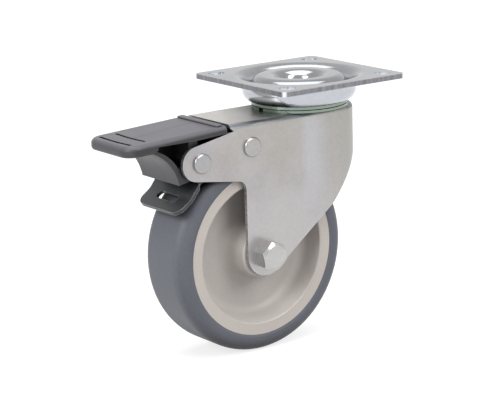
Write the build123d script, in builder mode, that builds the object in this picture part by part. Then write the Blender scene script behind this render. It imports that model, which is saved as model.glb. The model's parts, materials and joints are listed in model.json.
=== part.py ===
"""Swivel castor, 80 mm wheel on a 60 mm square plate, with a foot brake that also locks the swivel.

Millimetres. The origin is on the swivel axis at the top face of the mounting plate. +Z is up, the
wheel trails towards -X, and the axle and both brake pivots lie along Y.
"""

import math
import os

from build123d import *

os.makedirs("parts", exist_ok=True)

# ---- driving dimensions -------------------------------------------------------------------------

# wheel
wheel_d = 80.0
tread_w = 25.0
tread_shoulder_r = 4.9
tyre_t = 6.9
tyre_lip = 1.0
tyre_lip_r = 0.6
rim_ring_w = 4.6
rim_ring_r = 0.6
rim_side_inset = 0.3
rim_key_w = 8.0
rim_key_h = 1.8
web_t = 6.0
dish_draft = 2.4
dish_bend_r = 4.0
hub_r = 10.0
hub_flare = 0.8
hub_foot_r = 4.0
hub_edge_r = 0.8

# where the wheel hangs
trail = 29.0
crown_gap = 13.44
wheel_gap = 0.75
hub_gap = 0.35
running_gap = 0.05

# mounting plate and its pressed bowl
plate_side = 60.0
plate_t = 2.0
plate_corner_r = 2.5
plate_hole_spacing = 47.0
plate_hole_d = 6.4
bowl_wall_r = 22.7
bowl_bend_r = 3.6
bowl_corner_r = 4.2
bowl_depth = 10.3

# swivel head
race_gap = 0.03
ball_d = 4.0
ball_count = 12
ball_pitch_r = 13.0
bowl_floor_rise = 2.7
bowl_recess_r = 15.2
bowl_recess_bend_r = 1.2
cap_t = 1.4
cap_neck_r = 7.6
cap_shoulder_r = 3.7
cap_floor_bend_r = 1.8
cap_rim_r = 19.1
cap_rim_bend_r = 3.5
cap_rim_end_z = -5.2
neck_gap = 0.8
race_t = 0.9
race_bore_gap = 0.2
head_ring_r = 19.2
lock_ring_t = 1.0
lock_ring_in_r = 16.0
lock_hole_count = 24
lock_hole_l = 2.4
lock_hole_r = 17.6
king_pin_r = 4.0
king_pin_head_r = 6.0
king_pin_head_h = 2.4
king_pin_tail_r = 5.4
king_pin_tail_h = 1.4
king_pin_chamfer = 1.2

# fork
fork_t = 1.5
crown_bend_r = 2.2
nose_x = 8.1
foot_r = 8.7
front_slope = 37.5
nose_slope = 53.0
knee_x = 5.0
knee_r = 16.0
lug_r = 6.8
lug_reach = 1.9
lug_rise = 10.8
lug_fall = 8.2
lug_inner_r = 4.0

# axle
axle_r = 3.0
axle_sleeve_r = 5.0
axle_head_af = 10.5
axle_head_h = 6.1
axle_head_turn = 11.0
axle_nut_af = 10.0
axle_nut_h = 6.0
axle_hex_chamfer_w = 1.7
axle_hex_chamfer_h = 0.9
axle_end = 1.0
axle_washer_r = 6.0
axle_washer_t = 1.2

# pivots of the pedal and of the brake lever, behind the axle and above the top of the tyre
pedal_pivot_back = 29.1
pedal_pivot_rise = 0.5
brake_pivot_back = 5.6
brake_pivot_rise = 3.5
rivet_r = 2.5
rivet_head_r = 3.9
rivet_head_h = 1.3
rivet_edge_r = 0.8
pedal_sleeve_r = 3.5
brake_sleeve_r = 3.2

# pedal, its places taken from its pivot
pedal_overhang = 0.25
pedal_back = 32.9
pedal_front = 11.9
pedal_end_rise = 10.5
pedal_front_rise = 12.8
pedal_crown_gap = 1.9
pedal_corner_r = 6.0
pedal_edge_r = 2.0
pedal_under_r = 1.4
pedal_plate_t = 2.9
pedal_rail_rise = 9.2
pedal_lip_t = 4.4
pedal_lip_l = 11.5
pedal_hub_r = 5.6
pedal_spine_t = 3.0
pedal_wall_t = 2.0
pedal_floor_t = 0.5
pedal_skirt_back = 9.3
pedal_skirt_drop = 7.5
pedal_skirt_bow = 2.5
pedal_heel_drop = 5.7
pedal_pocket_drop = 1.2
pedal_rear_rib_back = 4.4
pedal_middle_rib_back = 0.3
pedal_front_wall = 6.1
pedal_ridge_w = 3.0
pedal_ridge_h = 0.7
pedal_ridge_inset = 1.5
pedal_ridge_r = 0.5
pedal_groove_w = 1.3
pedal_groove_depth = 0.5
pedal_groove_bow = 0.5
pedal_grooves = ((28.9, 20.5), (22.1, 19.0))

# brake lever, its bends and its tongue taken from the pivots above them
lever_t = 1.5
lever_gap = 0.55
sleeve_gap = 0.1
ear_wall = 1.4
arm_half_w = 6.0
arm_reach = 4.6
arm_taper = 2.0
arm_end = 3.9
arm_bend_r = 4.0
tooth_w = 2.0
tooth_gap = 0.4
tooth_swing = 0.7
tooth_drop = 1.4
tooth_bend_r = 1.2
tongue_overhang = 1.5
tongue_start = 0.9
tongue_corner_r = 4.0
tongue_slot_l = 13.5
tongue_slot_w = 3.4
tongue_slot_at = (5.7, 15.0)
tongue_slot_tilt = 43.5
lever_bends = ((-6.0, 4.5), (0.2, 8.0), (4.8, 14.0), (11.3, 18.5))
lever_bend_rs = (6.0, 6.0, 8.0)

# ---- places worked out from them ----------------------------------------------------------------

tyre_r = wheel_d / 2
rim_r = tyre_r - tyre_t
bowl_floor_z = plate_t - bowl_depth + bowl_floor_rise
upper_ball_z = bowl_floor_z + race_gap + ball_d / 2
lower_ball_z = bowl_floor_z - plate_t - race_gap - ball_d / 2
crown_z = lower_ball_z - ball_d / 2 - race_gap - race_t
cap_crest_z = upper_ball_z + ball_d / 2 + race_gap + cap_t
tyre_top = crown_z - crown_gap
axle_x = -trail
axle_z = tyre_top - tyre_r
overall_h = tyre_r - axle_z
cheek_in = tread_w / 2 + wheel_gap
fork_half_w = cheek_in + fork_t
hub_half_w = cheek_in - hub_gap
axle_at = (axle_x, axle_z)
pedal_pivot = (axle_x - pedal_pivot_back, tyre_top + pedal_pivot_rise)
brake_pivot = (axle_x - brake_pivot_back, tyre_top + brake_pivot_rise)
pedal_front_x = pedal_pivot[0] + pedal_front
crown_rear_x = pedal_front_x + pedal_crown_gap


def at_pivot(pivot):
    """Plane through a cross pivot in which local x is the radius and local y is world Y."""
    return Plane((pivot[0], 0, pivot[1]))


def cross_axis(pivot):
    return Axis((pivot[0], 0, pivot[1]), (0, 1, 0))


# ---- mounting plate: one pressing with the race bowl drawn down in its middle --------------------

bend_start_r = bowl_wall_r + bowl_bend_r
bowl_mid_r = bowl_wall_r - plate_t / 2
bowl_hole_r = cap_neck_r + cap_t + neck_gap
bulge_mid_z = plate_t / 2 - bowl_depth
recess_mid_r = bowl_recess_r + plate_t / 2

with BuildPart() as top_plate:
    with BuildSketch(Plane.XY.offset(-plate_t)):
        RectangleRounded(plate_side, plate_side, plate_corner_r)
        Circle(bend_start_r, mode=Mode.SUBTRACT)
        with GridLocations(plate_hole_spacing, plate_hole_spacing, 2, 2):
            Circle(plate_hole_d / 2, mode=Mode.SUBTRACT)
    extrude(amount=plate_t)
    with BuildSketch(Plane.XZ):
        with BuildLine():
            FilletPolyline(
                (bend_start_r + plate_t / 2, -plate_t / 2),
                (bowl_mid_r, -plate_t / 2),
                (bowl_mid_r, bulge_mid_z),
                (recess_mid_r, bulge_mid_z),
                (recess_mid_r, bulge_mid_z + bowl_floor_rise),
                (bowl_hole_r, bulge_mid_z + bowl_floor_rise),
                radius=[
                    bowl_bend_r + plate_t / 2,
                    bowl_corner_r - plate_t / 2,
                    bowl_recess_bend_r,
                    bowl_recess_bend_r,
                ],
            )
        trace(line_width=plate_t)
    revolve(axis=Axis.Z)
top_plate.part.label = "top_plate"
export_step(top_plate.part, "parts/top_plate.step")

# ---- lock ring: flat notched ring under the bowl that the brake's tooth reaches for --------------

with BuildPart() as lock_ring:
    with BuildSketch(Plane.XY.offset(-bowl_depth - lock_ring_t)):
        Circle(head_ring_r)
        Circle(lock_ring_in_r, mode=Mode.SUBTRACT)
        with PolarLocations(lock_hole_r, lock_hole_count):
            Rectangle(lock_hole_l, lock_hole_l, mode=Mode.SUBTRACT)
    extrude(amount=lock_ring_t)
lock_ring.part.label = "lock_ring"
export_step(lock_ring.part, "parts/lock_ring.step")

# ---- upper race cap: turned-over cup riveted to the fork, which holds the upper balls down --------

cap_mid_z = cap_crest_z - cap_t / 2
with BuildPart() as upper_race_cap:
    with BuildSketch(Plane.XZ):
        with BuildLine():
            FilletPolyline(
                (king_pin_r, crown_z + cap_t / 2),
                (cap_neck_r + cap_t / 2, crown_z + cap_t / 2),
                (cap_neck_r + cap_t / 2, cap_mid_z),
                (cap_rim_r - cap_t / 2, cap_mid_z),
                (cap_rim_r - cap_t / 2, cap_rim_end_z),
                radius=[cap_floor_bend_r, cap_shoulder_r, cap_rim_bend_r],
            )
        trace(line_width=cap_t)
    revolve(axis=Axis.Z)
upper_race_cap.part.label = "upper_race_cap"
export_step(upper_race_cap.part, "parts/upper_race_cap.step")

# ---- king pin: rivet that clamps the cap to the fork crown ---------------------------------------

with BuildPart() as king_pin:
    with BuildSketch(Plane.XZ):
        with BuildLine():
            top = crown_z + cap_t
            bottom = crown_z - fork_t
            Polyline(
                (0, top + king_pin_head_h),
                (king_pin_head_r - king_pin_chamfer, top + king_pin_head_h),
                (king_pin_head_r, top + king_pin_head_h - king_pin_chamfer),
                (king_pin_head_r, top),
                (king_pin_r, top),
                (king_pin_r, bottom),
                (king_pin_tail_r, bottom),
                (king_pin_tail_r - king_pin_chamfer, bottom - king_pin_tail_h),
                (0, bottom - king_pin_tail_h),
                close=True,
            )
        make_face()
    revolve(axis=Axis.Z)
king_pin.part.label = "king_pin"
export_step(king_pin.part, "parts/king_pin.step")

# ---- balls: an upper row inside the bowl and a lower row between the bowl and the crown ----------

for name, ball_z in (("upper_balls", upper_ball_z), ("lower_balls", lower_ball_z)):
    with BuildPart() as balls:
        with Locations((0, 0, ball_z)):
            with PolarLocations(ball_pitch_r, ball_count):
                Sphere(ball_d / 2)
    balls.part.label = name
    export_step(balls.part, "parts/" + name + ".step")

# ---- lower race: flat ring on the crown, with a slot for the lock tooth ---------------------------

tooth_slot_l = lever_t + tooth_swing + 2 * tooth_gap
tooth_slot_w = tooth_w + 2 * tooth_gap
tooth_x = tooth_swing / 2 - lock_hole_r

with BuildPart() as lower_race_ring:
    with BuildSketch(Plane.XY.offset(crown_z)):
        Circle(head_ring_r)
        Circle(cap_neck_r + cap_t + race_bore_gap, mode=Mode.SUBTRACT)
        with Locations((tooth_slot_l / 2 - lock_hole_r, 0)):
            Rectangle(
                head_ring_r,
                tooth_slot_w,
                align=(Align.MAX, Align.CENTER),
                mode=Mode.SUBTRACT,
            )
    extrude(amount=race_t)
lower_race_ring.part.label = "lower_race_ring"
export_step(lower_race_ring.part, "parts/lower_race_ring.step")

# ---- fork: one pressed sheet, a channel with a round closed nose ---------------------------------

lug_centre = (pedal_pivot[0] - lug_reach, pedal_pivot[1])


def slope(degrees):
    return math.tan(math.radians(degrees))


with BuildPart() as fork:
    plan_l = nose_x - lug_centre[0] + lug_r
    with BuildSketch(Plane.XY.offset(crown_z)):
        with Locations((nose_x, 0)):
            Circle(fork_half_w)
            Rectangle(plan_l, 2 * fork_half_w, align=(Align.MAX, Align.CENTER))
    extrude(amount=-overall_h)
    top_edges = fork.faces().sort_by(Axis.Z)[-1].edges()
    fillet(top_edges.filter_by(lambda e: e.center().X > lug_centre[0]), crown_bend_r)
    with BuildSketch(Plane.XY.offset(crown_z - fork_t)):
        with Locations((nose_x, 0)):
            Circle(cheek_in)
            Rectangle(plan_l + fork_t, 2 * cheek_in, align=(Align.MAX, Align.CENTER))
    extrude(amount=-overall_h, mode=Mode.SUBTRACT)

    # side outline: lug for the pedal, leg to the axle, and the sloping front edge
    with BuildSketch(Plane.XZ) as fork_side:
        with BuildLine():
            lug_end = CenterArc(lug_centre, lug_r, 90 + lug_rise, 180 - lug_rise - lug_fall)
            foot = CenterArc((axle_x, axle_z), foot_r, 180, 90 + front_slope)
            leg_x = axle_x - foot_r
            armpit = (leg_x, (lug_end @ 1).Y - slope(lug_fall) * (leg_x - (lug_end @ 1).X))
            FilletPolyline(lug_end @ 1, armpit, foot @ 0, radius=lug_inner_r)
            knee = (knee_x, (foot @ 1).Y + slope(front_slope) * (knee_x - (foot @ 1).X))
            nose_end_x = nose_x + fork_half_w + fork_t
            nose_end = (nose_end_x, knee[1] + slope(nose_slope) * (nose_end_x - knee_x))
            front = FilletPolyline(foot @ 1, knee, nose_end, radius=knee_r)
            rear_foot_x = crown_rear_x + fork_t
            Polyline(
                front @ 1,
                (nose_end_x, 0),
                (crown_rear_x, 0),
                (crown_rear_x, crown_z - fork_t),
                (rear_foot_x, (lug_end @ 0).Y + slope(lug_rise) * (rear_foot_x - (lug_end @ 0).X)),
                lug_end @ 0,
            )
        make_face()
    extrude(amount=2 * fork_half_w, both=True, mode=Mode.INTERSECT)

    # king pin hole and the slot for the lock tooth
    with BuildSketch(Plane.XY.offset(crown_z)):
        Circle(king_pin_r)
        with Locations((-lock_hole_r, 0)):
            Rectangle(tooth_slot_l, tooth_slot_w)
    extrude(amount=-fork_t, mode=Mode.SUBTRACT)

    # holes through both cheeks
    with BuildSketch(Plane.XZ):
        with Locations(pedal_pivot, brake_pivot):
            Circle(rivet_r)
        with Locations((axle_x, axle_z)):
            Circle(axle_r)
    extrude(amount=2 * fork_half_w, both=True, mode=Mode.SUBTRACT)
fork.part.label = "fork"
export_step(fork.part, "parts/fork.step")

# ---- rivets of the two pivots and the sleeves that they clamp between the cheeks ------------------

for name, pivot, sleeve_r in (
    ("pedal", pedal_pivot, pedal_sleeve_r),
    ("brake", brake_pivot, brake_sleeve_r),
):
    with BuildPart() as rivet:
        with BuildSketch(at_pivot(pivot)):
            with BuildLine():
                head_y = fork_half_w + rivet_head_h
                Polyline((0, 0), (rivet_r, 0), (rivet_r, fork_half_w), (rivet_head_r, fork_half_w))
                FilletPolyline(
                    (rivet_head_r, fork_half_w),
                    (rivet_head_r, head_y),
                    (0, head_y),
                    radius=rivet_edge_r,
                )
                Line((0, head_y), (0, 0))
            make_face()
            mirror(about=Plane.XZ)
        revolve(axis=cross_axis(pivot))
    rivet.part.label = name + "_rivet"
    export_step(rivet.part, "parts/" + name + "_rivet.step")

    with BuildPart() as sleeve:
        with BuildSketch(Plane.XZ):
            with Locations(pivot):
                Circle(sleeve_r)
                Circle(rivet_r, mode=Mode.SUBTRACT)
        extrude(amount=cheek_in, both=True)
    sleeve.part.label = name + "_sleeve"
    export_step(sleeve.part, "parts/" + name + "_sleeve.step")

# ---- axle: hex bolt, sleeve that the wheel turns on, washer and nut -------------------------------

nut_face = fork_half_w + axle_washer_t
bolt_l = fork_half_w + nut_face + axle_nut_h + axle_end

for name, side, base_y, across, height, turn in (
    ("axle_bolt", -1, -fork_half_w, axle_head_af, axle_head_h, axle_head_turn),
    ("axle_nut", 1, nut_face, axle_nut_af, axle_nut_h, 0.0),
):
    with BuildPart() as hexagon:
        with BuildSketch(Plane.XZ.offset(-base_y)):
            with Locations(axle_at):
                RegularPolygon(across / 2, 6, major_radius=False, rotation=30 + turn)
        extrude(amount=-side * height)

        # chamfer turned on the outer face
        with BuildSketch(at_pivot(axle_at)):
            with BuildLine():
                corner_r = across / math.sqrt(3)
                end_y = base_y + side * height
                Polyline(
                    (0, base_y),
                    (corner_r + axle_hex_chamfer_w, base_y),
                    (corner_r + axle_hex_chamfer_w, end_y - 2 * side * axle_hex_chamfer_h),
                    (corner_r - axle_hex_chamfer_w, end_y),
                    (0, end_y),
                    close=True,
                )
            make_face()
        revolve(axis=cross_axis(axle_at), mode=Mode.INTERSECT)

        with BuildSketch(Plane.XZ.offset(-base_y)):
            with Locations(axle_at):
                Circle(axle_r)
        if name == "axle_bolt":
            extrude(amount=-bolt_l)
        else:
            extrude(amount=-height, mode=Mode.SUBTRACT)
    hexagon.part.label = name
    export_step(hexagon.part, "parts/" + name + ".step")

with BuildPart() as axle_sleeve:
    with BuildSketch(Plane.XZ):
        with Locations(axle_at):
            Circle(axle_sleeve_r)
            Circle(axle_r, mode=Mode.SUBTRACT)
    extrude(amount=cheek_in, both=True)
axle_sleeve.part.label = "axle_sleeve"
export_step(axle_sleeve.part, "parts/axle_sleeve.step")

with BuildPart() as axle_washer:
    with BuildSketch(Plane.XZ.offset(-fork_half_w)):
        with Locations(axle_at):
            Circle(axle_washer_r)
            Circle(axle_r, mode=Mode.SUBTRACT)
    extrude(amount=-axle_washer_t)
axle_washer.part.label = "axle_washer"
export_step(axle_washer.part, "parts/axle_washer.step")

# ---- wheel: moulded rim with a keyed channel, and the tyre on it ---------------------------------

rim_side = tread_w / 2 - rim_side_inset
web_side = web_t / 2
dish_r = rim_r - rim_ring_w
key_r = rim_r + rim_key_h
hub_bore_r = axle_sleeve_r + running_gap

with BuildPart() as wheel_rim:
    with BuildSketch(at_pivot(axle_at)):
        with BuildLine():
            FilletPolyline(
                (hub_bore_r, hub_half_w),
                (hub_r, hub_half_w),
                (hub_r + hub_flare, web_side),
                (dish_r - dish_draft, web_side),
                (dish_r, rim_side),
                (rim_r, rim_side),
                radius=[hub_edge_r, hub_foot_r, dish_bend_r, rim_ring_r],
            )
            Polyline(
                (rim_r, rim_side),
                (rim_r, rim_key_w / 2),
                (key_r, rim_key_w / 2),
                (key_r, 0),
                (hub_bore_r, 0),
                (hub_bore_r, hub_half_w),
            )
        make_face()
        mirror(about=Plane.XZ)
    revolve(axis=cross_axis(axle_at))
wheel_rim.part.label = "wheel_rim"
export_step(wheel_rim.part, "parts/wheel_rim.step")

with BuildPart() as tyre:
    with BuildSketch(at_pivot(axle_at)):
        with BuildLine():
            shoulder_r = min(tread_shoulder_r, tyre_t - tyre_lip - tyre_lip_r)
            FilletPolyline(
                (rim_r, rim_side),
                (rim_r + tyre_lip, tread_w / 2),
                (tyre_r, tread_w / 2),
                (tyre_r, 0),
                radius=[tyre_lip_r, shoulder_r],
            )
            Polyline(
                (tyre_r, 0),
                (key_r, 0),
                (key_r, rim_key_w / 2),
                (rim_r, rim_key_w / 2),
                (rim_r, rim_side),
            )
        make_face()
        mirror(about=Plane.XZ)
    revolve(axis=cross_axis(axle_at))
tyre.part.label = "tyre"
export_step(tyre.part, "parts/tyre.step")

# ---- pedal: one moulding, a tread over a hollow body with a curved skirt, round its pivot's bore ---

px, pz = pedal_pivot
pedal_half_w = fork_half_w + pedal_overhang
body_half_w = cheek_in - lever_gap
pedal_end_x = px - pedal_back
lip_x = pedal_end_x + pedal_lip_l
rail_z = pz + pedal_rail_rise
tread_tilt = (pedal_front_rise - pedal_end_rise) / (pedal_front + pedal_back)


def tread_top(x):
    return pz + pedal_end_rise + tread_tilt * (x - pedal_end_x)


lip_z = tread_top(lip_x) - pedal_lip_t
skirt_foot = (px - pedal_skirt_back, pz - pedal_skirt_drop)
tread_plane = Plane(
    (pedal_end_x, 0, tread_top(pedal_end_x)),
    x_dir=(1, 0, tread_tilt),
    z_dir=(-tread_tilt, 0, 1),
)


def bowed(start, end, bow):
    """Arc from start to end that bulges by bow to the left of the way it runs."""
    run, rise = end[0] - start[0], end[1] - start[1]
    length = math.hypot(run, rise)
    middle = (
        (start[0] + end[0]) / 2 - bow * rise / length,
        (start[1] + end[1]) / 2 + bow * run / length,
    )
    return ThreePointArc(start, middle, end)


def looks_up(face):
    return face.normal_at().Z > 0.9


with BuildPart() as pedal:
    # tread plate with its thick lip
    with BuildSketch(Plane.XZ):
        with BuildLine():
            Polyline(
                (pedal_end_x, tread_top(pedal_end_x)),
                (pedal_front_x, tread_top(pedal_front_x)),
                (pedal_front_x, tread_top(pedal_front_x) - pedal_plate_t),
                (lip_x + pedal_wall_t, tread_top(lip_x) - pedal_plate_t),
                (lip_x, lip_z),
                (pedal_end_x, tread_top(pedal_end_x) - pedal_lip_t),
                close=True,
            )
        make_face()
    extrude(amount=pedal_half_w, both=True)
    fillet(pedal.edges().filter_by(Axis.Z).group_by(Axis.X)[0], pedal_corner_r)
    tread_edges = pedal.faces().filter_by(looks_up)[0].edges()
    fillet(tread_edges.filter_by(lambda e: e.center().X < pedal_front_x - lever_t), pedal_edge_r)
    lip_face = pedal.faces().filter_by(lambda f: f.normal_at().Z < -0.9).sort_by(Axis.X)[0]
    fillet(lip_face.edges().filter_by(lambda e: e.center().X < lip_x - lever_t), pedal_under_r)

    # body under it: skirt, hub and front wall in one outline, with pockets from both sides
    with BuildSketch(Plane.XZ):
        with BuildLine():
            bowed((lip_x, lip_z), skirt_foot, pedal_skirt_bow)
            front_top = tread_top(pedal_front_x) - pedal_plate_t / 2
            Polyline(
                skirt_foot,
                (px, pz - pedal_heel_drop),
                (px + pedal_hub_r, pz),
                (pedal_front_x - pedal_plate_t, rail_z - pedal_wall_t),
                (pedal_front_x - pedal_plate_t / 2, front_top),
                (lip_x, tread_top(lip_x) - pedal_plate_t / 2),
                (lip_x, lip_z),
            )
        make_face()
        with Locations(pedal_pivot):
            Circle(pedal_hub_r)
    extrude(amount=body_half_w, both=True)
    with BuildSketch(Plane.XZ) as pockets:
        with BuildLine():
            rear_x = lip_x + pedal_wall_t
            rear_rib_x = px - pedal_rear_rib_back
            skirt_in = (skirt_foot[0], pz - pedal_pocket_drop)
            Polyline(
                (rear_x, lip_z + pedal_floor_t),
                (rear_x, rail_z),
                (rear_rib_x, rail_z),
                (rear_rib_x, skirt_in[1]),
                skirt_in,
            )
            bowed((rear_x, lip_z + pedal_floor_t), skirt_in, pedal_skirt_bow / 2)
        make_face()
        with BuildLine():
            middle_rib_x = px - pedal_middle_rib_back
            Polyline(
                (middle_rib_x, rail_z),
                (px + pedal_front_wall, rail_z),
                (px + pedal_front_wall, rail_z - pedal_wall_t),
                (px + pedal_wall_t, pz),
                (middle_rib_x, pz),
                close=True,
            )
        make_face()
        with Locations(pedal_pivot):
            Circle(pedal_hub_r, mode=Mode.SUBTRACT)
    for side in (-1, 1):
        to_side = Location((0, side * pedal_spine_t / 2, 0))
        side_pockets = [face.moved(to_side) for face in pockets.sketch.faces()]
        extrude(side_pockets, amount=pedal_half_w, dir=(0, side, 0), mode=Mode.SUBTRACT)

    # raised ridge along the front edge of the tread
    with BuildSketch(tread_plane):
        with Locations((pedal_front + pedal_back - pedal_ridge_inset / 2, 0)):
            RectangleRounded(
                pedal_ridge_w,
                2 * (pedal_half_w - pedal_ridge_inset),
                pedal_ridge_w / 4,
                align=(Align.MAX, Align.CENTER),
            )
    extrude(amount=pedal_ridge_h)
    fillet(pedal.faces().filter_by(looks_up).sort_by(Axis.Z)[-1].edges(), pedal_ridge_r)

    # two bowed grip grooves near the end
    with BuildSketch(tread_plane):
        for groove_back, groove_l in pedal_grooves:
            groove_x = pedal_back - groove_back
            with BuildLine(mode=Mode.PRIVATE):
                groove = bowed((groove_x, -groove_l / 2), (groove_x, groove_l / 2), pedal_groove_bow)
            SlotArc(groove, pedal_groove_w)
    extrude(amount=-pedal_groove_depth, mode=Mode.SUBTRACT)

    # pivot bore
    with BuildSketch(Plane.XZ):
        with Locations(pedal_pivot):
            Circle(pedal_sleeve_r + running_gap)
    extrude(amount=pedal_half_w, both=True, mode=Mode.SUBTRACT)
pedal.part.label = "pedal"
export_step(pedal.part, "parts/pedal.step")

# ---- brake lever: one folded sheet, with the lock tooth, the arm, two ears and the tongue ---------

bx, bz = brake_pivot
tongue_half_w = tread_w / 2 + tongue_overhang
lever_top_z = bz + brake_sleeve_r + sleeve_gap + lever_t / 2
tooth_top_z = -bowl_depth - lock_ring_t - tooth_drop
ear_r = brake_sleeve_r + ear_wall
bends = [(px - back, pz - drop) for back, drop in lever_bends]

with BuildPart() as brake_lever:
    with BuildSketch(Plane.XZ):
        with BuildLine():
            FilletPolyline(
                (tooth_x, tooth_top_z),
                (tooth_x, lever_top_z),
                (bx - arm_end, lever_top_z),
                *bends,
                radius=[tooth_bend_r, arm_bend_r, *lever_bend_rs],
            )
        trace(line_width=lever_t)
    extrude(amount=tongue_half_w, both=True)

    # width along it: narrow tooth, slim arm, body between the cheeks, wide tongue below them
    with BuildSketch(Plane.XY):
        with BuildLine():
            tip_x = bends[-1][0] - lever_t
            Polyline(
                (tip_x, 0),
                (tip_x, tongue_half_w),
                (px - tongue_start, tongue_half_w),
                (px - tongue_start, body_half_w),
                (bx + arm_reach, body_half_w),
                (bx + arm_reach + arm_taper, arm_half_w),
                (tooth_x - lever_t, arm_half_w),
                (tooth_x - lever_t, tooth_w / 2),
                (tooth_x + lever_t, tooth_w / 2),
                (tooth_x + lever_t, 0),
                close=True,
            )
        make_face()
        mirror(about=Plane.XZ)
    extrude(amount=-overall_h, mode=Mode.INTERSECT)
    tip_corners = brake_lever.edges().filter_by(lambda e: abs(e.length - lever_t) < running_gap)
    fillet(tip_corners.sort_by(Axis.X)[:2], tongue_corner_r)

    # ears that hang beside the sleeve
    for side in (-1, 1):
        with BuildSketch(Plane.XZ.offset(side * (body_half_w - lever_t / 2))):
            with Locations(brake_pivot):
                Circle(ear_r)
                Rectangle(2 * ear_r, lever_top_z - bz, align=(Align.CENTER, Align.MIN))
        extrude(amount=lever_t / 2, both=True)

    # slot in the tongue, square to the sheet
    slot_back, slot_drop = tongue_slot_at
    slot_plane = Plane(
        (px - slot_back, 0, pz - slot_drop), x_dir=(0, 1, 0), z_dir=(-1, 0, slope(tongue_slot_tilt))
    )
    with BuildSketch(slot_plane):
        SlotOverall(tongue_slot_l, tongue_slot_w)
    extrude(amount=2 * lever_t, both=True, mode=Mode.SUBTRACT)

    # pivot hole through both ears
    with BuildSketch(Plane.XZ):
        with Locations(brake_pivot):
            Circle(brake_sleeve_r + running_gap)
    extrude(amount=fork_half_w, both=True, mode=Mode.SUBTRACT)
brake_lever.part.label = "brake_lever"
export_step(brake_lever.part, "parts/brake_lever.step")
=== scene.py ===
import json

import bpy
from mathutils import Matrix, Vector


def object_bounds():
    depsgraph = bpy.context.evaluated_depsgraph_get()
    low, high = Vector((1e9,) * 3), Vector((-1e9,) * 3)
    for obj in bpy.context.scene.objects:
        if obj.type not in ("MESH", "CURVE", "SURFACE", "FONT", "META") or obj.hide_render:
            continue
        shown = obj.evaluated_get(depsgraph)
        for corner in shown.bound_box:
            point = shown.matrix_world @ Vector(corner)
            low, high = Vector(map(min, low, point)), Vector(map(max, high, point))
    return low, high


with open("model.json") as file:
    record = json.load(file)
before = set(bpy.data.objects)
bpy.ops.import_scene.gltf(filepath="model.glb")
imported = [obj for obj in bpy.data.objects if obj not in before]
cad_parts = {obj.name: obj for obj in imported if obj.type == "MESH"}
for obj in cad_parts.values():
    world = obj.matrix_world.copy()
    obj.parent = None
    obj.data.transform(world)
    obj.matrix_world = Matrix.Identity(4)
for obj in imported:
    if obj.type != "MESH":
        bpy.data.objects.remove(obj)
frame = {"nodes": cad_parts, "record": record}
nodes = frame["nodes"]
cadBox = [list(corner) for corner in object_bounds()]
print("frame loaded:", len(nodes), "pieces")

mm = 0.001  # one millimetre in the scene's metres
white = (1, 1, 1, 1)


def newGroup(name, inputs, outputs):
    group = bpy.data.node_groups.new(name, "ShaderNodeTree")
    for socketName, kind, value in inputs:
        socket = group.interface.new_socket(name=socketName, in_out="INPUT", socket_type=kind)
        socket.default_value = value
    for socketName, kind in outputs:
        group.interface.new_socket(name=socketName, in_out="OUTPUT", socket_type=kind)
    return group, group.nodes.new("NodeGroupInput"), group.nodes.new("NodeGroupOutput")


def addMath(tree, operation, first, second=0.0):
    node = tree.nodes.new("ShaderNodeMath")
    node.operation = operation
    for slot, value in ((0, first), (1, second)):
        if isinstance(value, (int, float)):
            node.inputs[slot].default_value = value
        else:
            tree.links.new(value, node.inputs[slot])
    return node.outputs[0]


def addRange(tree, value, fromLow, fromHigh, toLow=0.0, toHigh=1.0):
    node = tree.nodes.new("ShaderNodeMapRange")
    tree.links.new(value, node.inputs["Value"])
    for socketName, number in (("From Min", fromLow), ("From Max", fromHigh),
                               ("To Min", toLow), ("To Max", toHigh)):
        node.inputs[socketName].default_value = number
    return node.outputs[0]


def addMix(tree, factor, first, second):
    node = tree.nodes.new("ShaderNodeMix")
    node.data_type = "RGBA"
    for slot, value in ((0, factor), (6, first), (7, second)):
        if isinstance(value, (int, float, tuple, list)):
            node.inputs[slot].default_value = value
        else:
            tree.links.new(value, node.inputs[slot])
    return node.outputs[2]


def addNoise(tree, vector, scale, detail=3.0, roughness=0.5):
    node = tree.nodes.new("ShaderNodeTexNoise")
    tree.links.new(vector, node.inputs["Vector"])
    if isinstance(scale, (int, float)):
        node.inputs["Scale"].default_value = scale
    else:
        tree.links.new(scale, node.inputs["Scale"])
    node.inputs["Detail"].default_value = detail
    node.inputs["Roughness"].default_value = roughness
    return node.outputs["Fac"]


# the stretch of each effect's raw value that is spread from 0 to 1
spread = {
    "drift": (0.35, 0.65),
    "clouds": (0.32, 0.68),
    "specks": (0.35, 0.65),
    "pits": (0.69, 0.74),
    "streaks": (0.35, 0.65),
    "edge": (0.985, 0.86),
    "paintedShade": (0.70, 0.38),
}


# clouds: soft blotches of three sizes and small pits, each from 0 to 1
def buildClouds():
    group, given, put = newGroup(
        "clouds",
        [("Drift", "NodeSocketFloat", 20.0), ("Coarse", "NodeSocketFloat", 60.0),
         ("Fine", "NodeSocketFloat", 400.0)],
        [("Drift", "NodeSocketFloat"), ("Clouds", "NodeSocketFloat"),
         ("Specks", "NodeSocketFloat"), ("Pits", "NodeSocketFloat")],
    )
    place = group.nodes.new("ShaderNodeTexCoord").outputs["Object"]
    drift = addNoise(group, place, given.outputs["Drift"], 1.0, 0.4)
    coarse = addNoise(group, place, given.outputs["Coarse"], 4.0, 0.55)
    fine = addNoise(group, place, given.outputs["Fine"], 3.0, 0.6)
    group.links.new(addRange(group, drift, *spread["drift"]), put.inputs["Drift"])
    group.links.new(addRange(group, coarse, *spread["clouds"]), put.inputs["Clouds"])
    group.links.new(addRange(group, fine, *spread["specks"]), put.inputs["Specks"])
    group.links.new(addRange(group, fine, *spread["pits"]), put.inputs["Pits"])
    return group


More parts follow.
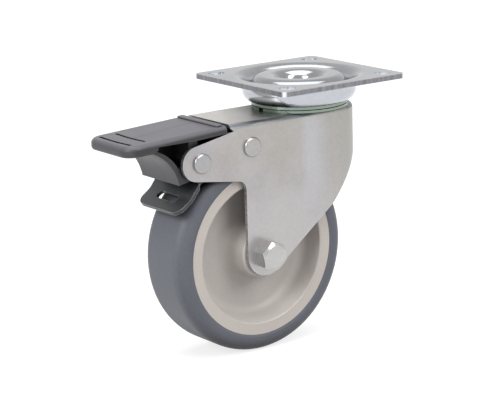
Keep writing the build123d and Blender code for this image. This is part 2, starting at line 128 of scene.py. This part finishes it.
# grain: fine bumps as a normal, for moulded, plated or rubber skin
def buildGrain():
    group, given, put = newGroup(
        "grain",
        [("Scale", "NodeSocketFloat", 1500.0), ("Strength", "NodeSocketFloat", 0.1),
         ("Depth", "NodeSocketFloat", 0.0001)],
        [("Normal", "NodeSocketVector")],
    )
    place = group.nodes.new("ShaderNodeTexCoord").outputs["Object"]
    height = addNoise(group, place, given.outputs["Scale"], 3.0, 0.55)
    bump = group.nodes.new("ShaderNodeBump")
    group.links.new(given.outputs["Strength"], bump.inputs["Strength"])
    group.links.new(given.outputs["Depth"], bump.inputs["Distance"])
    group.links.new(height, bump.inputs["Height"])
    group.links.new(bump.outputs[0], put.inputs["Normal"])
    return group


# edgeMask: 1 on sharp outer edges within a given radius, 0 on flats
def buildEdgeMask():
    group, given, put = newGroup(
        "edgeMask",
        [("Radius", "NodeSocketFloat", 0.0006)],
        [("Edge", "NodeSocketFloat")],
    )
    bevel = group.nodes.new("ShaderNodeBevel")
    bevel.samples = 4
    group.links.new(given.outputs["Radius"], bevel.inputs["Radius"])
    flat = group.nodes.new("ShaderNodeNewGeometry").outputs["Normal"]
    dot = group.nodes.new("ShaderNodeVectorMath")
    dot.operation = "DOT_PRODUCT"
    group.links.new(bevel.outputs[0], dot.inputs[0])
    group.links.new(flat, dot.inputs[1])
    turned = addRange(group, dot.outputs["Value"], *spread["edge"])
    group.links.new(turned, put.inputs["Edge"])
    return group


# painted shade in corners: 1 deep in a corner, 0 on open faces, within a given reach
def buildPaintedShade():
    group, given, put = newGroup(
        "paintedShade",
        [("Reach", "NodeSocketFloat", 0.005), ("Ease", "NodeSocketFloat", 0.0)],
        [("PaintedShade", "NodeSocketFloat")],
    )
    near = group.nodes.new("ShaderNodeAmbientOcclusion")
    near.samples = 6
    group.links.new(given.outputs["Reach"], near.inputs["Distance"])
    openness = addMath(group, "ADD", near.outputs["AO"], given.outputs["Ease"])
    group.links.new(addRange(group, openness, *spread["paintedShade"]), put.inputs["PaintedShade"])
    return group


clouds = buildClouds()
grain = buildGrain()
edgeMask = buildEdgeMask()
paintedShade = buildPaintedShade()
print("shader groups built")


def useGroup(tree, group, **values):
    node = tree.nodes.new("ShaderNodeGroup")
    node.node_tree = group
    for name, value in values.items():
        node.inputs[name].default_value = value
    return node.outputs


def addAxes(tree, coordinate):
    split = tree.nodes.new("ShaderNodeSeparateXYZ")
    source = tree.nodes.new("ShaderNodeTexCoord").outputs[coordinate]
    tree.links.new(source, split.inputs[0])
    return split.outputs


def addProduct(tree, *factors):
    total = factors[0]
    for factor in factors[1:]:
        total = addMath(tree, "MULTIPLY", total, factor)
    return total


def addSize(tree, value):
    return addMath(tree, "ABSOLUTE", value)


# the object's own coordinates, stretched by one scale along each axis
def addStretch(tree, scale):
    mapping = tree.nodes.new("ShaderNodeMapping")
    mapping.inputs["Scale"].default_value = scale
    source = tree.nodes.new("ShaderNodeTexCoord").outputs["Object"]
    tree.links.new(source, mapping.inputs["Vector"])
    return mapping.outputs[0]


# 0 at the first of two lengths in millimetres, 1 at the second
def addSpan(tree, value, limits):
    return addRange(tree, value, limits[0] * mm, limits[1] * mm)


# where each mask begins and ends: lengths in millimetres, or how far a face turns (-1 to 1)
plate = {
    "sides": (29.55, 29.9),
    "bowl": (-2.1, -4.0),
    "holes": (17.0, 18.0),
    "holeFacing": (0.6, 0.3),
}


# 1 on the four sheared sides of the mounting plate
def plateSides(tree):
    place = addAxes(tree, "Object")
    reach = addMath(tree, "MAXIMUM", addSize(tree, place["X"]), addSize(tree, place["Y"]))
    return addSpan(tree, reach, plate["sides"])


# 1 on the drawn bowl under the mounting plate
def plateBowl(tree):
    return addSpan(tree, addAxes(tree, "Object")["Z"], plate["bowl"])


# 1 on the walls of the four bolt holes
def plateHoles(tree):
    place, facing = addAxes(tree, "Object"), addAxes(tree, "Normal")
    least = addMath(tree, "MINIMUM", addSize(tree, place["X"]), addSize(tree, place["Y"]))
    upright = addRange(tree, addSize(tree, facing["Z"]), *plate["holeFacing"])
    return addProduct(tree, upright, addSpan(tree, least, plate["holes"]))


fork = {
    "cheeks": (13.15, 13.3),
    "cutFacing": (0.5, 0.35),
    "underCrown": (-14.8, -15.4),
    "bandNoise": (40.0, 1.0, 60.0),
    "bandWander": 4.0,
    "bandRise": (-9.0, -5.5),
    "bandFade": (4.0, -2.0),
    "bandFoot": (-52.0, -34.0),
    "nose": (-2.0, 9.0),
    "legs": (-30.0, -55.0),
    "crownFacing": (0.9, 0.98),
    "bendNoise": (60.0, 500.0, 500.0),
    "bendLow": (0.1, 0.3),
    "bendHigh": (0.98, 0.85),
    "bendStripes": (0.40, 0.56, 0.5, 1.0),  # the noise from and to, the mask from and to
}


# 1 on the cut edges of the fork's cheeks: far out sideways, but not facing sideways
def forkCuts(tree):
    place, facing = addAxes(tree, "Object"), addAxes(tree, "Normal")
    outside = addSpan(tree, addSize(tree, place["Y"]), fork["cheeks"])
    turned = addRange(tree, addSize(tree, facing["Y"]), *fork["cutFacing"])
    return addProduct(tree, outside, turned, addSpan(tree, place["Z"], fork["underCrown"]))


# painted highlight: 1 along a soft upright band down the fork's cheeks
def forkHighlightBand(tree):
    place = addAxes(tree, "Object")
    wander = addNoise(tree, addStretch(tree, fork["bandNoise"]), 1.0, 2.0)
    across = addMath(tree, "ADD", place["X"], addProduct(tree, wander, fork["bandWander"] * mm))
    rise = addSpan(tree, across, fork["bandRise"])
    fade = addSpan(tree, across, fork["bandFade"])
    return addProduct(tree, rise, fade, addSpan(tree, place["Z"], fork["bandFoot"]))


# 1 towards the fork's closed nose
def forkNose(tree):
    return addSpan(tree, addAxes(tree, "Object")["X"], fork["nose"])


# 1 towards the foot of the fork's legs
def forkLegs(tree):
    return addSpan(tree, addAxes(tree, "Object")["Z"], fork["legs"])


# 1 on the flat crown of the fork
def forkCrown(tree):
    return addRange(tree, addAxes(tree, "Normal")["Z"], *fork["crownFacing"])


# painted dark reflection: 1 in broken stripes along the two bends beside the crown
def forkBendDarkReflection(tree):
    upwards = addAxes(tree, "Normal")["Z"]
    stripes = addNoise(tree, addStretch(tree, fork["bendNoise"]), 1.0, 2.0)
    low = addRange(tree, upwards, *fork["bendLow"])
    high = addRange(tree, upwards, *fork["bendHigh"])
    return addProduct(tree, low, high, addRange(tree, stripes, *fork["bendStripes"]))


pedal = {
    "notUp": (0.65, 0.1),
    "flankFacing": (0.8, 0.97),
    "creaseCentre": 66.0,
    "creaseSlope": 0.13,
    "creaseWidth": (0.7, 0.2),
    "creaseEnd": (-81.0, -78.0),
    "creaseFront": (-50.0, -53.0),
    "treadFacing": (0.97, 0.995),
}


# 1 on everything of the pedal that does not face upwards
def pedalSides(tree):
    return addRange(tree, addAxes(tree, "Normal")["Z"], *pedal["notUp"])


# 1 on the upright flanks of the pedal
def pedalFlanks(tree):
    sideways = addSize(tree, addAxes(tree, "Normal")["Y"])
    return addRange(tree, sideways, *pedal["flankFacing"])


# 1 in the thin slanted line that runs along the pedal's tread
def pedalCrease(tree):
    place, facing = addAxes(tree, "Object"), addAxes(tree, "Normal")
    along = addMath(tree, "ADD", place["X"], pedal["creaseCentre"] * mm)
    middle = addProduct(tree, along, pedal["creaseSlope"])
    away = addSize(tree, addMath(tree, "SUBTRACT", place["Y"], middle))
    line = addSpan(tree, away, pedal["creaseWidth"])
    upwards = addRange(tree, facing["Z"], *pedal["treadFacing"])
    end = addSpan(tree, place["X"], pedal["creaseEnd"])
    front = addSpan(tree, place["X"], pedal["creaseFront"])
    return addProduct(tree, line, upwards, addProduct(tree, end, front))


wheel = {
    "axleX": -29.0,
    "axleZ": -66.0,
    "ring": (28.4, 29.4),
    "tread": (38.9, 39.7),
}


# distance from the axle: the length of the offset in X and Z
def axleDistance(tree):
    place = addAxes(tree, "Object")
    away = tree.nodes.new("ShaderNodeCombineXYZ")
    tree.links.new(addMath(tree, "SUBTRACT", place["X"], wheel["axleX"] * mm), away.inputs["X"])
    tree.links.new(addMath(tree, "SUBTRACT", place["Z"], wheel["axleZ"] * mm), away.inputs["Z"])
    length = tree.nodes.new("ShaderNodeVectorMath")
    length.operation = "LENGTH"
    tree.links.new(away.outputs[0], length.inputs[0])
    return length.outputs["Value"]


# 1 on the outer ring of the rim
def rimRing(tree):
    return addSpan(tree, axleDistance(tree), wheel["ring"])


# 1 on the tyre's tread, which gets painted light
def tyreTread(tree):
    return addSpan(tree, axleDistance(tree), wheel["tread"])


# one finish: cloudy tints over each other, pits, painted highlights on edges and fine grain
def makeFinish(name, look):
    material = bpy.data.materials.new(name)
    material.use_nodes = True
    tree = material.node_tree
    shader = tree.nodes["Principled BSDF"]
    shader.inputs["Metallic"].default_value = look["metallic"]
    blotches = useGroup(tree, clouds, Drift=look["driftScale"], Coarse=look["cloudScale"],
                        Fine=look["speckScale"])
    tint = addMix(tree, blotches["Clouds"], look["tints"][0], look["tints"][1])
    drift = addProduct(tree, blotches["Drift"], look["driftAmount"])
    tint = addMix(tree, drift, tint, look["driftTint"])
    for mask, toneTint, amount in look.get("tones", []):
        tint = addMix(tree, addProduct(tree, mask(tree), amount), tint, toneTint)
    light, dark = 1.0 + look["speckle"], 1.0 - look["speckle"]
    speck = addRange(tree, blotches["Specks"], 0.0, 1.0, dark, light)
    pitted = addRange(tree, blotches["Pits"], 0.0, 1.0, 1.0, 1.0 - look["pits"])
    scaled = tree.nodes.new("ShaderNodeVectorMath")
    scaled.operation = "SCALE"
    tree.links.new(tint, scaled.inputs[0])
    tree.links.new(addProduct(tree, speck, pitted), scaled.inputs["Scale"])
    colour = scaled.outputs["Vector"]
    low, high = look["roughness"] - look["roughSwing"], look["roughness"] + look["roughSwing"]
    roughness = addRange(tree, blotches["Clouds"], 0.0, 1.0, low, high)
    if "cutMask" in look:
        cut = look["cutMask"](tree)
        streaks = addNoise(tree, addStretch(tree, look["streaks"]), 1.0)
        streaks = addRange(tree, streaks, *spread["streaks"])
        cutColour = addMix(tree, streaks, look["cutTints"][0], look["cutTints"][1])
        colour = addMix(tree, cut, colour, cutColour)
        roughness = addMath(tree, "ADD", roughness, addProduct(tree, cut, look["cutRough"]))
    # painted highlight: edges lightened, broken up by the specks
    if "edgeHighlightTint" in look:
        edge = useGroup(tree, edgeMask, Radius=look["edgeRadius"])["Edge"]
        broken = addRange(tree, blotches["Specks"], 0.0, 1.0, 0.3, 1.0)
        edgeHighlight = addProduct(tree, edge, broken, look["edgeHighlightAmount"])
        colour = addMix(tree, edgeHighlight, colour, look["edgeHighlightTint"])
    # painted shade: colour darkened towards a shade tint in corners
    if "paintedShadeTint" in look:
        shadeAmount = useGroup(tree, paintedShade, Reach=look["paintedShadeReach"],
                        Ease=look.get("paintedShadeEase", 0.0))["PaintedShade"]
        if "paintedShadeMask" in look:
            shadeAmount = addProduct(tree, shadeAmount, look["paintedShadeMask"](tree))
        shadeAmount = addProduct(tree, shadeAmount, look["paintedShadeAmount"])
        colour = addMix(tree, shadeAmount, colour, look["paintedShadeTint"])
    tree.links.new(colour, shader.inputs["Base Color"])
    tree.links.new(roughness, shader.inputs["Roughness"])
    normal = useGroup(tree, grain, Scale=look["grainScale"], Strength=look["grainStrength"],
                      Depth=look["grainDepth"])["Normal"]
    tree.links.new(normal, shader.inputs["Normal"])
    return material


zincPlain = {
    "tints": ((0.285, 0.29, 0.305, 1), (0.35, 0.35, 0.365, 1)),
    "driftTint": (0.24, 0.25, 0.265, 1), "driftAmount": 0.6, "driftScale": 30.0,
    "metallic": 1.0, "roughness": 0.18, "roughSwing": 0.05,
    "cloudScale": 60.0, "speckScale": 600.0, "speckle": 0.03, "pits": 0.2,
    "grainScale": 700.0, "grainStrength": 0.05, "grainDepth": 0.0002,
    # painted highlight: edges lightened towards near white
    "edgeHighlightTint": (0.9, 0.9, 0.92, 1), "edgeRadius": 0.0004, "edgeHighlightAmount": 0.5,
}
mattPlain = zincPlain | {
    "tints": ((0.35, 0.332, 0.340, 1), (0.435, 0.418, 0.434, 1)),
    "driftTint": (0.40, 0.386, 0.340, 1), "driftAmount": 0.6, "driftScale": 24.0,
    "metallic": 0.9, "roughness": 0.36, "roughSwing": 0.06,
    "cloudScale": 70.0, "speckScale": 900.0, "speckle": 0.035, "pits": 0.35,
    "grainScale": 1400.0, "grainStrength": 0.14,
}
plasticPlain = {
    "metallic": 0.0, "roughness": 0.4, "roughSwing": 0.04,
    "driftAmount": 0.3, "driftScale": 25.0,
    "cloudScale": 60.0, "speckScale": 900.0, "speckle": 0.05, "pits": 0.0,
    "grainScale": 2200.0, "grainStrength": 0.2, "grainDepth": 0.0002,
}
# each tone is a mask, its tint and how much of the tint it lays on
finishes = {
    "plateZinc": zincPlain | {
        "tones": [
            # painted reflection: the bowl lighter and bluer
            (plateBowl, (0.46, 0.475, 0.51, 1), 1.0),
            # painted reflection: the hole walls nearly white
            (plateHoles, (0.85, 0.88, 0.92, 1), 0.8),
        ],
        "cutMask": plateSides, "streaks": (500.0, 500.0, 40.0), "cutRough": 0.2,
        "cutTints": ((0.17, 0.17, 0.19, 1), (0.27, 0.27, 0.285, 1)),
    },
    "brightZinc": zincPlain,
    "forkZinc": mattPlain | {
        "tones": [
            # painted light: the legs lighter towards the foot
            (forkLegs, (0.50, 0.48, 0.50, 1), 0.45),
            (forkNose, (0.37, 0.36, 0.32, 1), 0.6),
            # painted highlight: a soft lighter band down the cheeks
            (forkHighlightBand, (0.47, 0.475, 0.50, 1), 0.6),
            # painted light: the crown's top lighter and warmer
            (forkCrown, (0.58, 0.565, 0.53, 1), 0.9),
            # painted dark reflection: dark stripes along the bends
            (forkBendDarkReflection, (0.13, 0.15, 0.17, 1), 0.85),
        ],
        "cutMask": forkCuts, "streaks": (900.0, 60.0, 900.0), "cutRough": 0.0,
        "cutTints": ((0.36, 0.36, 0.37, 1), (0.60, 0.60, 0.61, 1)),
        # painted shade: the crown's top near black in corners, as under the ring
        "paintedShadeTint": (0.012, 0.022, 0.02, 1), "paintedShadeReach": 0.011, "paintedShadeAmount": 1.0,
        "paintedShadeMask": forkCrown,
    },
    "rivetZinc": mattPlain | {
        "tints": ((0.32, 0.325, 0.34, 1), (0.38, 0.38, 0.395, 1)), "roughness": 0.24,
    },
    "boltZinc": mattPlain | {
        "tints": ((0.44, 0.445, 0.46, 1), (0.52, 0.52, 0.535, 1)), "roughness": 0.26,
    },
    "chromate": zincPlain | {
        "tints": ((0.22, 0.26, 0.20, 1), (0.34, 0.38, 0.29, 1)),
        "driftTint": (0.20, 0.27, 0.26, 1),
        "metallic": 0.9, "roughness": 0.28, "edgeHighlightAmount": 0.1,
    },
    "ballSteel": zincPlain | {
        "roughness": 0.1, "roughSwing": 0.02, "edgeHighlightAmount": 0.0, "pits": 0.0,
    },
    "sleeveSteel": zincPlain | {
        "tints": ((0.40, 0.40, 0.41, 1), (0.48, 0.48, 0.48, 1)), "roughness": 0.32,
    },
    "leverDark": zincPlain | {
        "tints": ((0.024, 0.027, 0.030, 1), (0.048, 0.052, 0.057, 1)),
        "driftTint": (0.055, 0.062, 0.060, 1),
        "metallic": 0.3, "roughness": 0.36, "roughSwing": 0.07, "speckle": 0.1, "pits": 0.3,
        "grainScale": 1300.0, "grainStrength": 0.12,
        # painted highlight: the lever's edges lighter
        "edgeHighlightTint": (0.50, 0.51, 0.52, 1), "edgeHighlightAmount": 0.9,
        # painted shade: the lever darker in corners
        "paintedShadeTint": (0.008, 0.008, 0.01, 1), "paintedShadeReach": 0.006, "paintedShadeAmount": 0.8,
    },
    "pedalGrey": plasticPlain | {
        "tints": ((0.066, 0.065, 0.077, 1), (0.083, 0.081, 0.094, 1)),
        "driftTint": (0.082, 0.080, 0.097, 1),
        "tones": [
            # painted shade: pedal faces that do not face upwards darker
            (pedalSides, (0.050, 0.050, 0.055, 1), 0.75),
            # painted shade: the upright flanks near black
            (pedalFlanks, (0.016, 0.016, 0.019, 1), 0.85),
            # painted shade: a dark line along the tread, standing in for the shading of a small
            # step
            (pedalCrease, (0.038, 0.037, 0.046, 1), 0.85),
        ],
        # painted highlight: the pedal's edges lighter
        "edgeHighlightTint": (0.16, 0.165, 0.18, 1), "edgeRadius": 0.0006, "edgeHighlightAmount": 0.35,
        # painted shade: the pedal near black in corners and pockets
        "paintedShadeTint": (0.004, 0.004, 0.004, 1), "paintedShadeReach": 0.007, "paintedShadeAmount": 1.0,
    },
    "rimGrey": plasticPlain | {
        "tints": ((0.50, 0.463, 0.438, 1), (0.55, 0.515, 0.487, 1)),
        "driftTint": (0.53, 0.503, 0.465, 1),
        "tones": [(rimRing, (0.60, 0.545, 0.50, 1), 0.8)],
        "roughness": 0.46, "cloudScale": 30.0, "speckle": 0.02, "grainStrength": 0.1,
    },
    "tyreGrey": plasticPlain | {
        "tints": ((0.103, 0.108, 0.132, 1), (0.120, 0.125, 0.151, 1)),
        "driftTint": (0.118, 0.125, 0.147, 1),
        # painted light: the tread lighter than the sides
        "tones": [(tyreTread, (0.150, 0.157, 0.187, 1), 0.8)],
        "roughness": 0.5, "cloudScale": 40.0, "speckle": 0.04, "grainStrength": 0.12,
        # painted shadow: the tyre near black where the lever and fork shade it
        "paintedShadeTint": (0.006, 0.006, 0.007, 1), "paintedShadeReach": 0.03, "paintedShadeAmount": 1.0,
        "paintedShadeEase": 0.15,
    },
}
materials = {name: makeFinish(name, look) for name, look in finishes.items()}

# which finish each piece wears: its own, or else its slot's
ownFinish = {
    "top_plate": "plateZinc", "fork": "forkZinc",
    "pedal_rivet": "rivetZinc", "brake_rivet": "rivetZinc",
    "axle_bolt": "boltZinc", "axle_nut": "boltZinc", "axle_washer": "boltZinc",
}
slotFinish = {
    "bright_zinc": "brightZinc", "matt_zinc": "forkZinc", "chromate": "chromate",
    "ball_steel": "ballSteel", "sleeve_steel": "sleeveSteel", "lever_black": "leverDark",
    "pedal_grey": "pedalGrey", "rim_grey": "rimGrey", "tyre_grey": "tyreGrey",
}
for part in frame["record"]["subparts"]:
    piece = nodes[part["node"]]
    piece.data.materials.clear()
    finish = ownFinish.get(part["node"], slotFinish[part["material_slot"]])
    piece.data.materials.append(materials[finish])
print("finishes placed")


studio = {
    "floorSize": 2.2,
    "floorTint": (0.36, 0.36, 0.36, 1),
    "floorGlow": 0.75,
    "floorRoughness": 0.9,
    "worldStrength": 0.35,
    "lamps": [
        # name, place, aim, width, height, watts
        ("topLamp", (-0.1, -0.1, 1.4), (-0.02, 0.0, -0.05), 1.6, 1.6, 22.0),
        ("keyLamp", (-1.5, -0.35, 0.8), (-0.02, 0.0, -0.05), 0.8, 0.8, 13.0),
        ("fillLamp", (0.35, -1.3, 0.9), (-0.02, 0.0, -0.05), 0.8, 0.8, 10.5),
    ],
}


# 1 for what the camera, a reflection or glass shows, 0 for light that only reaches a surface
def seenDirectly(tree):
    path = tree.nodes.new("ShaderNodeLightPath").outputs
    mirrored = addMath(tree, "MAXIMUM", path["Is Glossy Ray"], path["Is Transmission Ray"])
    return addMath(tree, "MAXIMUM", path["Is Camera Ray"], mirrored)


def makeFloor():
    half = studio["floorSize"] / 2
    low = cadBox[0][2]
    mesh = bpy.data.meshes.new("floor")
    corners = [(-half, -half, low), (half, -half, low), (half, half, low), (-half, half, low)]
    mesh.from_pydata(corners, [], [(0, 1, 2, 3)])
    floor = bpy.data.objects.new("floor", mesh)
    bpy.context.scene.collection.objects.link(floor)
    material = bpy.data.materials.new("floorPaper")
    material.use_nodes = True
    tree = material.node_tree
    shader = tree.nodes["Principled BSDF"]
    shader.inputs["Roughness"].default_value = studio["floorRoughness"]
    shader.inputs["Specular IOR Level"].default_value = 0.0
    shader.inputs["Base Color"].default_value = studio["floorTint"]
    shader.inputs["Emission Color"].default_value = white
    glow = addProduct(tree, seenDirectly(tree), studio["floorGlow"])
    tree.links.new(glow, shader.inputs["Emission Strength"])
    mesh.materials.append(material)


def makeWorld():
    world = bpy.data.worlds.new("studio")
    bpy.context.scene.world = world
    world.use_nodes = True
    tree = world.node_tree
    tree.nodes.clear()
    soft = tree.nodes.new("ShaderNodeBackground")
    soft.inputs["Strength"].default_value = studio["worldStrength"]
    plain = tree.nodes.new("ShaderNodeBackground")
    plain.inputs["Strength"].default_value = 1.0
    for background in (soft, plain):
        background.inputs["Color"].default_value = white
    mix = tree.nodes.new("ShaderNodeMixShader")
    tree.links.new(seenDirectly(tree), mix.inputs[0])
    tree.links.new(soft.outputs[0], mix.inputs[1])
    tree.links.new(plain.outputs[0], mix.inputs[2])
    output = tree.nodes.new("ShaderNodeOutputWorld")
    tree.links.new(mix.outputs[0], output.inputs["Surface"])


def makeLamps():
    for name, place, aim, width, height, watts in studio["lamps"]:
        lamp = bpy.data.lights.new(name, "AREA")
        lamp.shape = "RECTANGLE"
        lamp.size = width
        lamp.size_y = height
        lamp.energy = watts
        holder = bpy.data.objects.new(name, lamp)
        holder.location = place
        holder.rotation_euler = (Vector(aim) - Vector(place)).to_track_quat("-Z", "Y").to_euler()
        bpy.context.scene.collection.objects.link(holder)


# where the camera stands, which way it looks and what it holds upright
camera = {
    "place": (-0.466742, -0.613920, 0.134781),
    "forward": (0.56718251, 0.78948574, -0.23455549),
    "up": (0.16122401, 0.17285353, 0.97166274),
    "lens": 141.577,
    "sensor": 36.0,
    "farthest": 20.0,
}


def makeCamera():
    data = bpy.data.cameras.new("camera")
    data.lens = camera["lens"]
    data.sensor_width = camera["sensor"]
    data.sensor_fit = "HORIZONTAL"
    data.clip_end = camera["farthest"]
    holder = bpy.data.objects.new("camera", data)
    forward, up = Vector(camera["forward"]), Vector(camera["up"])
    right = forward.cross(up).normalized()
    turn = Matrix((right, right.cross(forward), -forward)).transposed().to_4x4()
    holder.matrix_world = Matrix.Translation(camera["place"]) @ turn
    bpy.context.scene.collection.objects.link(holder)
    bpy.context.scene.camera = holder


makeFloor()
makeWorld()
makeLamps()
makeCamera()
bpy.context.scene.view_settings.view_transform = "Standard"
print("studio set")
